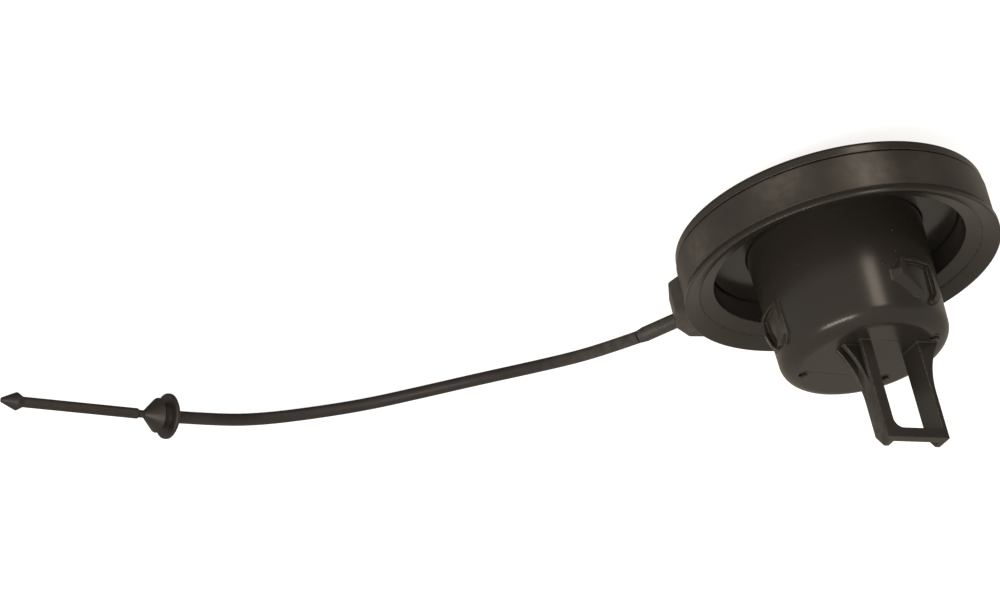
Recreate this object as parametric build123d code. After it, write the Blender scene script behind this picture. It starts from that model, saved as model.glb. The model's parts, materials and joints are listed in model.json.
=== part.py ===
"""Tethered fuel filler cap, standing on its grip with the plug end up.

Every piece is a solid of its own and is written to parts/NAME.step, in millimetres.
Z runs along the cap's axis, from the flat top of the grip (Z = 0) to the tip of the
prong. X runs along the grip bar. The tether leaves the cap near +X and lies on Z = 0.
"""

import os
from math import cos, radians, sin, tan

from build123d import *

# ---------------------------------------------------------------- driving dimensions
# Overall cap
CAP_RADIUS = 38.0          # outside of the tether band
FLANGE_PROUD = 0.5         # the plug's flange beyond the band
RIM_SETBACK = 0.3          # the cover's rim inside the band
GRIP_HEIGHT = 10.25        # from the grip's flat top to the face of the rim
RIM_WIDTH = 2.6            # width of the rim's edge
BAND_WIDTH = 9.3           # width of the tether band at its outside
GROOVE_GAP = 0.3           # shadow gap on each side of the band
FLANGE_EDGE = 1.05         # thickness of the flange at its edge
HUB_DEPTH = 23.8           # from the flange's edge to the flat end of the hub
PRONG_LENGTH = 25.5        # from the hub's end to the underside of the prong's bar

# Clearances
RUNNING_GAP = 0.05         # radial, on round things that turn on each other
SEAT_GAP = 0.05            # radial, on round things that are pressed together
FACE_GAP = 0.1             # between flat faces that slide on each other
FREE_GAP = 0.3             # between curved faces that pass each other

# Cover
DISH_RISE = 0.8            # how deep the finger dish is sunk below the rim
FLOOR_THICKNESS = 1.65
DISH_RADIUS = 25.0         # flat bottom of the dish
RIM_FACE_WIDTH = 3.1       # from the rim's outside to the edge of the dish
RIM_ROUND = 1.1
DRUM_WALL = 2.6
GRIP_TOP_LENGTH = 38.0
GRIP_BASE_LENGTH = 63.0
GRIP_TOP_WIDTH = 13.0
GRIP_BASE_WIDTH = 18.5
GRIP_END_SAG = 3.0         # hollow of the bar's sloping ends
GRIP_FLANK_SAG = 1.0       # hollow of the bar's long flanks
GRIP_EDGE = 1.2            # rounding of the bar's long edges
GRIP_WALL = 2.4
GRIP_WEB = 14.0            # solid middle of the bar, under the post
POST_RADIUS = 4.0
POST_LENGTH = 8.8
POST_SLOT = 1.2
SHOULDER_WIDTH = 2.5       # of the shoulder round the post, under the drive disc
STOP_WIDTH = 2.6
STOP_SETBACK = 1.8         # outside of the stops, inside the drive disc's edge
STOP_SPAN = 30.0           # degrees
STOP_HEIGHT = 3.8
THRUST_RADIUS = 26.0
THRUST_WIDTH = 2.4

# Tether band
BAND_WALL = 1.9
BAND_EDGE = 0.35
LUG_AZIMUTH = 23.0         # degrees
LUG_PROUD = 4.8            # outer face of the lug beyond the band
LUG_FACE = (-3.9, 2.9)     # ends of the lug's outer face, across the cord
LUG_SHOULDER_PROUD = 0.9
LUG_SHOULDER = (-12.1, 8.0)
LUG_FOOT_DEPTH = 2.0       # the lug's foot inside the band's face
LUG_FOOT = (-13.2, 9.2)
LUG_MARGIN = 0.55          # how far the lug stays inside the band's edges
LUG_ROUND = 1.2
LUG_EDGE = 0.5

# Plug: flange, gasket recess and hub
FLANGE_SLOPE = 18.3        # degrees, of the dished flange
FLANGE_ROUND = 0.45
STEP_SETBACK = 4.1         # faint step in the flange's open face, inside the flange's edge
STEP_DEPTH = 0.25
RECESS_SETBACK = 7.8       # mouth of the recess, inside the flange's edge
RECESS_DRAFT = 0.4
RECESS_DEPTH = 6.9         # below the mouth of the recess
WEB_THICKNESS = 1.4
HUB_ROOT_RADIUS = 21.4
HUB_END_RADIUS = 20.4
HUB_ROUND = 4.2
HUB_FLOOR = 3.0
CAVITY_RADIUS = 18.4
TOOTH_COUNT = 24
TOOTH_HEIGHT = 1.4
TOOTH_STEEP = 1.6          # degrees taken by a tooth's steep flank
TOOTH_LENGTH = 4.4
PLUG_AZIMUTH = -33.8       # degrees, of the prong's plane from the grip bar
VENT_RADIUS = 1.1
VENTS = ((2.7, 33.0), (2.2, -135.5), (5.4, 140.0))   # (inside the cavity's wall, azimuth)

# Bayonet lugs on the hub: a raised frame round a pocket
CAM_COUNT = 3
CAM_AZIMUTH = 15.7         # degrees, middle of the first lug in the prong's frame
CAM_HEIGHT = 0.55          # above the hub's root radius
CAM_WIDTH = 10.7           # across the hub's side, between the crests of its two side walls
CAM_FLANK = 3.4            # slope outside the lead-in wall, down to the hub's cavity radius
CAM_LENGTH = 10.9
CAM_FROM_END = 4.4         # tip of the lug, from the flat end of the hub
CAM_LEAD = (3.3, 5.0)      # slanted lead-in at the tip: across and along the hub
CAM_SLOPE = 2.2            # crest of the lead-in, behind the lug's tip
CAM_SHOULDER = 3.0         # length of the slant at the root of the flank
CAM_CORNER = 2.0           # slant at the tip of the stop wall
CAM_HOOK = 3.2             # end of the hook at the stop wall's tip, across the hub
CAM_STOP_WALL = 1.2        # the side wall that meets the neck's stop
CAM_FRAME_WALL = 0.9       # the other walls

# Prong
PRONG_WALL = 1.25
PRONG_INNER_NEAR = -8.05   # inner faces of the two legs, across the prong
PRONG_INNER_FAR = 5.15
PRONG_FRONT = -9.4         # front faces of legs and bar
PRONG_BACK = -2.7
BAR_HEIGHT = 2.5
BAR_DEPTH = 2.2
FOOT_LEAD = (2.2, 3.2)     # slant at the back of each foot: across and along
EDGE_WIDTH = 2.95          # front edge of the far leg
EDGE_WALL = 0.9
RIB_WALL = 0.9
RIB_ROOT = 6.5             # from the inner face, where the ribs meet the hub
RIB_WAIST = (3.25, 4.3)    # from the inner face, and above the hub
RIB_END = 13.8             # above the hub, where the ribs run out
PRONG_ROUND = 2.4          # window corner at the far leg
PRONG_CORNER = 0.4         # window corner at the near leg

# Neck gasket
GASKET_THICKNESS = 1.2
GASKET_ROUND = 0.35

# Retaining ring
SNAP_THICKNESS = 0.9
SNAP_BITE = 0.65           # into the plug's wall
SNAP_SEAT = 0.8            # into the cover's drum
SNAP_OPENING = 10.0        # degrees left open in the ring
SNAP_BELOW_DRUM_END = 3.2

# Drive disc
DISC_THICKNESS = 3.0
DISC_LIFT = 1.2            # above the cover's floor
LOST_MOTION = 25.0         # degrees of free play between grip and drive disc
PAWL_COUNT = 3
PAWL_WALL = 1.5
PAWL_SLIT = 1.5            # between the disc and an arm
PAWL_BACK_GAP = 2.0        # between an arm and the tips of the teeth
PAWL_SPAN = 56.0           # degrees
PAWL_ROOT_SPAN = 11.0      # degrees
PAWL_TIP_GAP = 0.5         # between a pawl's tip and the roots of the teeth
PEG_RADIUS = 0.9
PEG_DISTANCE = 8.6
PEG_HEIGHT = 2.2

# Lost-motion spring and its clip
TORSION_WIRE = 0.4         # wire radius
TORSION_RADIUS = 5.2
TORSION_TURNS = 2
TORSION_PITCH = 0.95
TORSION_LIFT = 0.55
CLIP_THICKNESS = 0.6
CLIP_RADIUS = 6.6
CLIP_BITE = 0.6            # into the post
CLIP_FROM_POST_END = 0.9

# Relief valve in the hub
HOUSING_WALL = 2.0
HOUSING_UPPER_WALL = 0.9   # above the shelf, clear of the hub's vents
HOUSING_FROM_POST = 2.9    # open end of the housing, above the post's end
SHELF_FROM_POST = 18.1     # top of the shelf, above the post's end
SHELF_THICKNESS = 1.6
SHELF_BORE = 9.0
LIP_WIDTH = 1.0
LIP_HEIGHT = 0.8
ORING_SECTION = 0.6        # section radius
ORING_DEPTH = 1.1          # depth of its groove
SEAL_THICKNESS = 1.2
SEAL_RADIUS = 12.2
SEAL_BORE = 4.8
PLATE_THICKNESS = 1.0
PLATE_RADIUS = 12.8
PLATE_RIM = 0.9
PLATE_RIM_HEIGHT = 1.3
PLATE_HUB_RADIUS = 2.3
PLATE_SPOKE = 1.4
PLATE_SPOKES = 3
PRESSURE_WIRE = 0.55       # wire radius
PRESSURE_COIL = 10.0
PRESSURE_TURNS = 4
RETAINER_THICKNESS = 1.4
RETAINER_BORE = 4.6
RETAINER_HOLE = 1.5
RETAINER_HOLES = 6
RETAINER_LIFT = 0.6        # above the housing's open end
VALVE_HEAD_RADIUS = 7.4
VALVE_HEAD_THICKNESS = 0.9
VALVE_STEM_RADIUS = 1.2
VALVE_STEM_LENGTH = 9.4
VACUUM_WIRE = 0.28         # wire radius
VACUUM_COIL = 2.0
VACUUM_TURNS = 5
NUT_THICKNESS = 0.7
NUT_RADIUS = 3.4
NUT_FROM_STEM_END = 0.8

# Tether
FERRULE_RADIUS = 1.85
FERRULE_LENGTH = 11.2
FERRULE_TAPER = 1.6
CORD_RADIUS = 1.55
ANCHOR_CENTRE = (166.0, 27.1, 5.65)
ANCHOR_AZIMUTH = -40.0     # degrees
TAIL_AZIMUTH = -31.5       # degrees
TAIL_TIP_HEIGHT = 2.25
ANCHOR_FLANGE_RADIUS = 5.6
ANCHOR_FLANGE = 1.2
ANCHOR_DOME = 0.6
ANCHOR_GROOVE_RADIUS = 3.0
ANCHOR_GROOVE = 2.0
ANCHOR_CONE_RADIUS = 4.3
ANCHOR_CONE = 4.1
NECK_RADIUS = 0.95
NECK_LENGTH = 1.2
TAIL_RADIUS = 1.3
TAIL_LENGTH = 30.5
ARROW_RADIUS = 2.2
ARROW_SHOULDER = 1.5
ARROW_LENGTH = 4.0
ARROW_TIP = 0.6

# Route of the cord's centre line between the ferrule and the anchor, chosen by hand
CORD_ROUTE = [
    (57.0, 26.6, 16.0),
    (65.5, 36.2, 12.0),
    (77.0, 46.0, 7.2),
    (90.5, 52.6, 3.7),
    (104.5, 56.0, 1.9),
    (119.0, 56.0, 1.6),
    (133.0, 53.2, 1.65),
    (145.5, 47.8, 2.5),
    (155.0, 39.6, 3.9),
]

# ---------------------------------------------------------------- radii and levels
FLANGE_RADIUS = CAP_RADIUS + FLANGE_PROUD
STEP_RADIUS = FLANGE_RADIUS - STEP_SETBACK
RECESS_RADIUS = FLANGE_RADIUS - RECESS_SETBACK
RIM_RADIUS = CAP_RADIUS - RIM_SETBACK
RIM_LIP_RADIUS = RIM_RADIUS - RIM_FACE_WIDTH
LUG_REACH = CAP_RADIUS + LUG_PROUD
RIM_TOP = GRIP_HEIGHT + RIM_WIDTH
BAND_LOW = RIM_TOP + GROOVE_GAP
BAND_HIGH = BAND_LOW + BAND_WIDTH
FLANGE_LOW = BAND_HIGH + GROOVE_GAP
FLANGE_HIGH = FLANGE_LOW + FLANGE_EDGE
HUB_END = FLANGE_HIGH + HUB_DEPTH
DISH_Z = GRIP_HEIGHT + DISH_RISE
FLOOR_Z = DISH_Z + FLOOR_THICKNESS
DRUM_RADIUS = CAP_RADIUS - BAND_WALL - RUNNING_GAP
DRUM_BORE = DRUM_RADIUS - DRUM_WALL
WALL_RADIUS = DRUM_BORE - FREE_GAP
TOOTH_TIP_RADIUS = CAVITY_RADIUS - TOOTH_HEIGHT
PAWL_TIP_RADIUS = CAVITY_RADIUS - PAWL_TIP_GAP
PAWL_OUTER_RADIUS = TOOTH_TIP_RADIUS - PAWL_BACK_GAP
PAWL_INNER_RADIUS = PAWL_OUTER_RADIUS - PAWL_WALL
DISC_RADIUS = PAWL_INNER_RADIUS - PAWL_SLIT
STOP_OUTER_RADIUS = DISC_RADIUS - STOP_SETBACK
STOP_INNER_RADIUS = STOP_OUTER_RADIUS - STOP_WIDTH
FLANGE_TAN = tan(radians(FLANGE_SLOPE))


def flange_under(radius):
    """Level of the flange's face toward the grip at a radius."""
    return FLANGE_LOW - (FLANGE_RADIUS - radius) * FLANGE_TAN


def flange_open(radius):
    """Level of the flange's open face at a radius."""
    return FLANGE_HIGH - (FLANGE_RADIUS - FLANGE_ROUND - radius) * FLANGE_TAN


MOUTH_Z = flange_open(RECESS_RADIUS)
RECESS_Z = MOUTH_Z - RECESS_DEPTH
WEB_Z = RECESS_Z - WEB_THICKNESS
DRUM_END = flange_under(DRUM_BORE) - FREE_GAP
SNAP_Z = DRUM_END - SNAP_BELOW_DRUM_END
POST_END = FLOOR_Z + POST_LENGTH
DISC_Z = FLOOR_Z + DISC_LIFT
DISC_TOP = DISC_Z + DISC_THICKNESS
CAVITY_END = HUB_END - HUB_FLOOR
HOUSING_RADIUS = CAVITY_RADIUS - SEAT_GAP
HOUSING_BORE = HOUSING_RADIUS - HOUSING_WALL
HOUSING_Z = POST_END + HOUSING_FROM_POST
SHELF_TOP = POST_END + SHELF_FROM_POST
SHELF_Z = SHELF_TOP - SHELF_THICKNESS
LIP_Z = SHELF_Z - LIP_HEIGHT
SEAL_Z = LIP_Z - SEAL_THICKNESS
PLATE_Z = SEAL_Z - PLATE_THICKNESS
RETAINER_Z = HOUSING_Z + RETAINER_LIFT
RETAINER_TOP = RETAINER_Z + RETAINER_THICKNESS
STEM_END = LIP_Z - VALVE_STEM_LENGTH
NUT_Z = STEM_END + NUT_FROM_STEM_END
CORD_LEVEL = (BAND_LOW + BAND_HIGH) / 2
FERRULE_END = LUG_REACH + FERRULE_LENGTH


# ---------------------------------------------------------------- shared shapes
def turned(points):
    """Solid of revolution about Z from a closed outline of (radius, level) points."""
    return revolve(make_face(Plane.XZ * Polyline(*points, close=True)), Axis.Z)


def tube(outer, inner, low, high):
    """Plain ring about Z."""
    return turned([(inner, low), (outer, low), (outer, high), (inner, high)])


def round_bar(radius, low, high, x=0.0, y=0.0):
    """Plain cylinder along Z."""
    return Pos(x, y, (low + high) / 2) * Cylinder(radius, high - low)


def polar(radius, azimuth):
    """Point in the XY plane."""
    return (radius * cos(radians(azimuth)), radius * sin(radians(azimuth)))


def sector(inner, outer, start, span, low, high):
    """Part of a ring, from one azimuth through a span of less than 180 degrees."""
    reach = outer / cos(radians(span / 4)) * 1.05
    corners = [polar(reach, start + span * share) for share in (0, 0.5, 1)]
    wedge = extrude(make_face(Polyline((0, 0), *corners, close=True)), high - low)
    return tube(outer, inner, low, high) & (Pos(0, 0, low) * wedge)


def coil(radius, wire, pitch, turns, low):
    """Helical wire about Z that starts at a level."""
    path = Helix(pitch=pitch, height=pitch * turns, radius=radius)
    section = Plane(origin=path @ 0, z_dir=path % 0) * Circle(wire)
    return Pos(0, 0, low) * sweep(section, path=path, is_frenet=True)


def lies_along(origin, azimuth, drop):
    """Plane whose Z points along a lying piece: azimuth in degrees, drop in degrees."""
    flat = cos(radians(drop))
    heading = (flat * cos(radians(azimuth)), flat * sin(radians(azimuth)), -sin(radians(drop)))
    return Plane(origin=origin, z_dir=heading)


# ---------------------------------------------------------------- cover
def bar_outline(plane, half_top, half_base, sag, top):
    """Closed outline of the grip bar on a plane: flat at Z = 0, curved flanks, upright above the dish."""
    with BuildSketch(plane) as outline:
        with BuildLine():
            Line((-half_top, 0), (half_top, 0))
            SagittaArc((half_top, 0), (half_base, DISH_Z), sag)
            Polyline((half_base, DISH_Z), (half_base, top), (-half_base, top), (-half_base, DISH_Z))
            SagittaArc((-half_base, DISH_Z), (-half_top, 0), sag)
        make_face()
    return outline.sketch


def grip_bar(inset, top):
    """Grip bar: its side outline crossed with its end outline, both shrunk by an inset."""
    side = bar_outline(Plane.XZ, GRIP_TOP_LENGTH / 2, GRIP_BASE_LENGTH / 2, GRIP_END_SAG, top)
    end = bar_outline(Plane.YZ, GRIP_TOP_WIDTH / 2, GRIP_BASE_WIDTH / 2, GRIP_FLANK_SAG, top)
    if inset:
        side = offset(side, -inset, kind=Kind.INTERSECTION)
        end = offset(end, -inset, kind=Kind.INTERSECTION)
    return extrude(side, GRIP_BASE_WIDTH, both=True) & extrude(end, GRIP_BASE_LENGTH, both=True)


def grip_cover():
    """Dished cover with its grip bar, drum, post and drive stops."""
    face = make_face(Plane.XZ * Polyline(
        (0, DISH_Z), (DISH_RADIUS, DISH_Z), (RIM_LIP_RADIUS, GRIP_HEIGHT), (RIM_RADIUS, GRIP_HEIGHT),
        (RIM_RADIUS, RIM_TOP), (DRUM_RADIUS, RIM_TOP), (DRUM_RADIUS, DRUM_END),
        (DRUM_BORE, DRUM_END), (DRUM_BORE, FLOOR_Z), (0, FLOOR_Z), close=True,
    ))
    shell = revolve(face, Axis.Z)
    rim_edges = shell.edges().filter_by(GeomType.CIRCLE).filter_by(
        lambda edge: abs(edge.center().Z - GRIP_HEIGHT) < 0.01
    )
    shell = fillet(rim_edges, RIM_ROUND)
    bar = grip_bar(0.0, DISH_Z + FLOOR_THICKNESS / 2)
    low_edges = [edge for edge in bar.edges() if edge.center().Z < 0.5]
    bar = fillet(low_edges, GRIP_EDGE)
    hollow = grip_bar(GRIP_WALL, FLOOR_Z + 1 + GRIP_WALL) - Box(GRIP_WEB, GRIP_BASE_WIDTH, 4 * FLOOR_Z)
    body = shell + bar - hollow
    body += round_bar(POST_RADIUS, DISH_Z + 0.5, POST_END)
    body += tube(POST_RADIUS + SHOULDER_WIDTH, POST_RADIUS - 1, FLOOR_Z - 0.5, DISC_Z - FACE_GAP / 2)
    for start in (90 - STOP_SPAN / 2, 270 - STOP_SPAN / 2):
        body += sector(
            STOP_INNER_RADIUS, STOP_OUTER_RADIUS, start, STOP_SPAN, FLOOR_Z - 0.5, FLOOR_Z + STOP_HEIGHT
        )
    body += tube(
        THRUST_RADIUS + THRUST_WIDTH / 2, THRUST_RADIUS - THRUST_WIDTH / 2,
        FLOOR_Z - 0.5, WEB_Z - FACE_GAP / 2,
    )
    body -= tube(
        DRUM_BORE + SNAP_SEAT + SEAT_GAP, DRUM_BORE - 1,
        SNAP_Z - FACE_GAP / 2, SNAP_Z + SNAP_THICKNESS + FACE_GAP / 2,
    )
    clip_low = POST_END - CLIP_FROM_POST_END - CLIP_THICKNESS
    body -= tube(
        POST_RADIUS + 1, POST_RADIUS - CLIP_BITE,
        clip_low - FACE_GAP / 2, clip_low + CLIP_THICKNESS + FACE_GAP / 2,
    )
    slot_low = DISC_TOP + TORSION_LIFT + TORSION_PITCH * TORSION_TURNS - TORSION_WIRE - FACE_GAP
    slot_high = POST_END + 1
    body -= Pos(0, 0, (slot_low + slot_high) / 2) * Box(3 * POST_RADIUS, POST_SLOT, slot_high - slot_low)
    return body


def retaining_ring():
    """Open spring ring that holds the plug in the drum."""
    ring = tube(DRUM_BORE + SNAP_SEAT, WALL_RADIUS - SNAP_BITE, SNAP_Z, SNAP_Z + SNAP_THICKNESS)
    gap = sector(
        DRUM_BORE - 5, DRUM_BORE + 5, 180 - SNAP_OPENING / 2, SNAP_OPENING,
        SNAP_Z - 1, SNAP_Z + SNAP_THICKNESS + 1,
    )
    return ring - gap


# ---------------------------------------------------------------- tether band
def tether_ring():
    """Band that turns freely round the drum, with the lug that holds the cord."""
    inner = CAP_RADIUS - BAND_WALL
    inner_high = flange_under(inner) - GROOVE_GAP
    band = turned([
        (inner, BAND_LOW), (CAP_RADIUS - BAND_EDGE, BAND_LOW), (CAP_RADIUS, BAND_LOW + BAND_EDGE),
        (CAP_RADIUS, BAND_HIGH - BAND_EDGE), (CAP_RADIUS - BAND_EDGE, BAND_HIGH), (inner, inner_high),
    ])
    foot = CAP_RADIUS - LUG_FOOT_DEPTH
    shoulder = CAP_RADIUS + LUG_SHOULDER_PROUD
    outline = Polyline(
        (inner - BAND_WALL, LUG_FOOT[0]), (foot, LUG_FOOT[0]), (shoulder, LUG_SHOULDER[0]),
        (LUG_REACH, LUG_FACE[0]), (LUG_REACH, LUG_FACE[1]), (shoulder, LUG_SHOULDER[1]),
        (foot, LUG_FOOT[1]), (inner - BAND_WALL, LUG_FOOT[1]), close=True,
    )
    height = BAND_WIDTH - 2 * LUG_MARGIN
    lug = Pos(0, 0, BAND_LOW + LUG_MARGIN) * extrude(make_face(outline), height)
    corners = lug.edges().filter_by(Axis.Z)
    lug = fillet([edge for edge in corners if edge.center().X > foot + 0.5], LUG_ROUND)
    for side in (-1, 0):
        rims = lug.faces().sort_by(Axis.Z)[side].edges()
        lug = fillet([edge for edge in rims if edge.center().X > foot], LUG_EDGE)
    lug -= round_bar(inner + BAND_WALL / 2, 0, HUB_END)
    return band + Rot(0, 0, LUG_AZIMUTH) * lug


def cord_ferrule():
    """Sleeve that carries the cord out of the lug."""
    x, y = polar(LUG_REACH, LUG_AZIMUTH)
    sleeve = turned([
        (0, 0), (FERRULE_RADIUS, 0), (FERRULE_RADIUS, FERRULE_LENGTH - FERRULE_TAPER),
        (CORD_RADIUS + 0.05, FERRULE_LENGTH), (0, FERRULE_LENGTH),
    ])
    return lies_along((x, y, CORD_LEVEL), LUG_AZIMUTH, 0) * sleeve


def anchor_back():
    """Centre of the anchor's back, where the cord ends."""
    x, y, z = ANCHOR_CENTRE
    back = ANCHOR_FLANGE / 2 + ANCHOR_DOME
    dx, dy = polar(back, ANCHOR_AZIMUTH)
    return (x - dx, y - dy, z)


def tether_cord():
    """Cord from the ferrule to the anchor: straight runs joined by the largest arcs."""
    x, y = polar(FERRULE_END, LUG_AZIMUTH)
    points = [Vector(x, y, CORD_LEVEL), *[Vector(*p) for p in CORD_ROUTE], Vector(*anchor_back())]
    radii = []
    for before, here, after in zip(points, points[1:], points[2:]):
        turn = (here - before).get_angle(after - here)
        run = min((here - before).length, (after - here).length)
        radii.append(0.45 * run / tan(radians(turn / 2)))
    print("cord radii", [round(radius, 1) for radius in radii])
    route = FilletPolyline(*points, radius=radii)
    section = Plane(origin=route @ 0, z_dir=route % 0) * Circle(CORD_RADIUS)
    cord = sweep(section, path=route)
    share = cord.volume / (section.area * route.length)
    print("cord length", round(route.length, 1), "volume share", round(share, 4))
    return cord


def anchor_plug():
    """Push-in anchor: flange, groove, cone and thin neck, with its pull-in tail."""
    x, y, z = ANCHOR_CENTRE
    start = -ANCHOR_FLANGE / 2
    groove = start + ANCHOR_FLANGE
    cone = groove + ANCHOR_GROOVE
    neck = cone + ANCHOR_CONE
    stud = turned([
        (0, start - ANCHOR_DOME), (CORD_RADIUS + 0.4, start - ANCHOR_DOME),
        (ANCHOR_FLANGE_RADIUS - 0.5, start), (ANCHOR_FLANGE_RADIUS, start + 0.4),
        (ANCHOR_FLANGE_RADIUS, groove - 0.3), (ANCHOR_FLANGE_RADIUS - 0.3, groove),
        (ANCHOR_GROOVE_RADIUS, groove), (ANCHOR_GROOVE_RADIUS, cone), (ANCHOR_CONE_RADIUS - 0.3, cone),
        (ANCHOR_CONE_RADIUS, cone + 0.4), (NECK_RADIUS, neck),
        (NECK_RADIUS, neck + NECK_LENGTH), (0, neck + NECK_LENGTH),
    ])
    head = lies_along((x, y, z), ANCHOR_AZIMUTH, 0) * stud
    dx, dy = polar(neck + NECK_LENGTH / 2, ANCHOR_AZIMUTH)
    drop = z - TAIL_TIP_HEIGHT
    length = TAIL_LENGTH + ARROW_SHOULDER + ARROW_LENGTH
    lean = Vector(length, drop, 0).get_angle(Vector(1, 0, 0))
    tail = turned([
        (0, 0), (NECK_RADIUS, 0), (NECK_RADIUS, NECK_LENGTH / 2), (TAIL_RADIUS, NECK_LENGTH),
        (TAIL_RADIUS, TAIL_LENGTH), (ARROW_RADIUS, TAIL_LENGTH + ARROW_SHOULDER),
        (ARROW_RADIUS, TAIL_LENGTH + ARROW_SHOULDER + 0.3), (ARROW_TIP, length), (0, length),
    ])
    return head + lies_along((x + dx, y + dy, z), TAIL_AZIMUTH, lean) * tail


# ---------------------------------------------------------------- drive
def drive_disc():
    """Disc on the post, with sprung pawls and the slots that give the free play."""
    disc = tube(DISC_RADIUS, POST_RADIUS + RUNNING_GAP, DISC_Z, DISC_TOP)
    play = 1.0
    for start in (90 - STOP_SPAN / 2, 270 - STOP_SPAN / 2):
        disc -= sector(
            STOP_INNER_RADIUS - FREE_GAP, STOP_OUTER_RADIUS + FREE_GAP,
            start - LOST_MOTION - play, STOP_SPAN + LOST_MOTION + 2 * play, DISC_Z - 1, DISC_TOP + 1,
        )
    pitch = 360 / TOOTH_COUNT
    tip = TOOTH_STEEP + 0.9
    for index in range(PAWL_COUNT):
        start = index * 360 / PAWL_COUNT
        arm = sector(PAWL_INNER_RADIUS, PAWL_OUTER_RADIUS, start + tip, PAWL_SPAN, DISC_Z, DISC_TOP)
        root = sector(
            DISC_RADIUS - 0.5, PAWL_OUTER_RADIUS, start + tip + PAWL_SPAN - PAWL_ROOT_SPAN, PAWL_ROOT_SPAN,
            DISC_Z, DISC_TOP,
        )
        nose = Polyline(
            polar(PAWL_INNER_RADIUS + 0.4, start + tip), polar(PAWL_TIP_RADIUS, start + tip),
            polar(PAWL_TIP_RADIUS - 0.8, start + pitch * 0.55), polar(PAWL_INNER_RADIUS + 0.4, start + pitch),
            close=True,
        )
        disc += arm + root + Pos(0, 0, DISC_Z) * extrude(make_face(nose), DISC_THICKNESS)
    return disc + round_bar(PEG_RADIUS, DISC_TOP - 0.5, DISC_TOP + PEG_HEIGHT, PEG_DISTANCE, 0)


def lost_motion_spring():
    """Torsion spring round the post, from the post's slot to the disc's peg."""
    low = DISC_TOP + TORSION_LIFT
    body = coil(TORSION_RADIUS, TORSION_WIRE, TORSION_PITCH, TORSION_TURNS, low)
    leg = Rot(0, 90, 0) * Cylinder(TORSION_WIRE, PEG_DISTANCE + 1 - TORSION_RADIUS)
    side = PEG_RADIUS + TORSION_WIRE + SEAT_GAP
    outer = Pos((PEG_DISTANCE + 1 + TORSION_RADIUS) / 2, side, low + 0.15) * leg
    inner_leg = Rot(0, 90, 0) * Cylinder(TORSION_WIRE, TORSION_RADIUS - 1)
    inner = Pos((TORSION_RADIUS + 1) / 2, 0, low + TORSION_PITCH * TORSION_TURNS) * inner_leg
    return body + outer + inner


def post_clip():
    """Push-on clip that keeps the disc and its spring on the post."""
    low = POST_END - CLIP_FROM_POST_END - CLIP_THICKNESS
    return tube(CLIP_RADIUS, POST_RADIUS - CLIP_BITE + SEAT_GAP, low, low + CLIP_THICKNESS)


# ---------------------------------------------------------------- plug
def cam_outline(side, lead_tip):
    """Outline of a lug on the hub's side, its lead-in wall standing at Y = side."""
    tip = HUB_END - CAM_FROM_END
    root = tip - CAM_LENGTH
    half = CAM_WIDTH / 2
    return make_face(Polyline(
        (-half, root), (half, root), (side, root + CAM_SHOULDER), (side, lead_tip - CAM_LEAD[1]),
        (side - CAM_LEAD[0], lead_tip), (CAM_CORNER - half, tip), (-half, tip - CAM_CORNER), close=True,
    ))


def bayonet_lug():
    """One lug on the hub's side: a hooked wall and a sloping lead-in wall round an open pocket."""
    tip = HUB_END - CAM_FROM_END
    half = CAM_WIDTH / 2
    outer = HUB_ROOT_RADIUS + CAM_HEIGHT
    foot = Plane.YZ.offset(CAVITY_RADIUS) * cam_outline(half + CAM_FLANK, tip)
    crest = Plane.YZ.offset(outer) * cam_outline(half, tip - CAM_SLOPE)
    pad = loft([foot, crest], ruled=True) & round_bar(outer, 0, HUB_END)
    left = CAM_STOP_WALL - half
    right = half - CAM_FRAME_WALL
    mouth = right - CAM_LEAD[0]
    low = tip - CAM_LENGTH + CAM_FRAME_WALL
    hollow = Polyline(
        (left, low), (right, low), (right, tip - CAM_SLOPE - CAM_LEAD[1]), (mouth, tip - CAM_SLOPE),
        (mouth, tip + 1), (CAM_HOOK - half, tip + 1), (CAM_HOOK - half, tip - CAM_FRAME_WALL),
        (left, tip - CAM_HOOK), close=True,
    )
    pad -= extrude(Plane.YZ * make_face(hollow), outer + 2)
    return pad - round_bar(CAVITY_RADIUS + 1, 0, HUB_END)


def prong_leg(edge_width):
    """One leg, standing at X = 0: a plate with two outward ribs and a front edge of its own width."""
    low = HUB_END - 0.8
    foot = HUB_END + PRONG_LENGTH
    plate = Polyline(
        (PRONG_FRONT, low), (PRONG_FRONT, foot), (PRONG_BACK - FOOT_LEAD[0], foot),
        (PRONG_BACK, foot - FOOT_LEAD[1]), (PRONG_BACK, low), close=True,
    )
    leg = extrude(Plane.YZ * make_face(plate), PRONG_WALL)
    rib_top = HUB_END + RIB_END
    with BuildSketch(Plane.XZ) as rib_face:
        with BuildLine():
            ThreePointArc((RIB_ROOT, low), (RIB_WAIST[0], HUB_END + RIB_WAIST[1]), (PRONG_WALL, rib_top))
            Polyline((PRONG_WALL, rib_top), (PRONG_WALL / 2, rib_top), (PRONG_WALL / 2, low), (RIB_ROOT, low))
        make_face()
    rib = extrude(rib_face.sketch, RIB_WALL / 2, both=True)
    for y in (PRONG_BACK - RIB_WALL / 2, (PRONG_BACK + PRONG_FRONT) / 2):
        leg += Pos(0, y, 0) * rib
    if edge_width > PRONG_WALL:
        edge = Box(edge_width, EDGE_WALL, foot - low)
        return leg + Pos(edge_width / 2, PRONG_FRONT + EDGE_WALL / 2, (low + foot) / 2) * edge
    return leg + Pos(0, PRONG_FRONT + RIB_WALL / 2, 0) * rib


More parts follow.
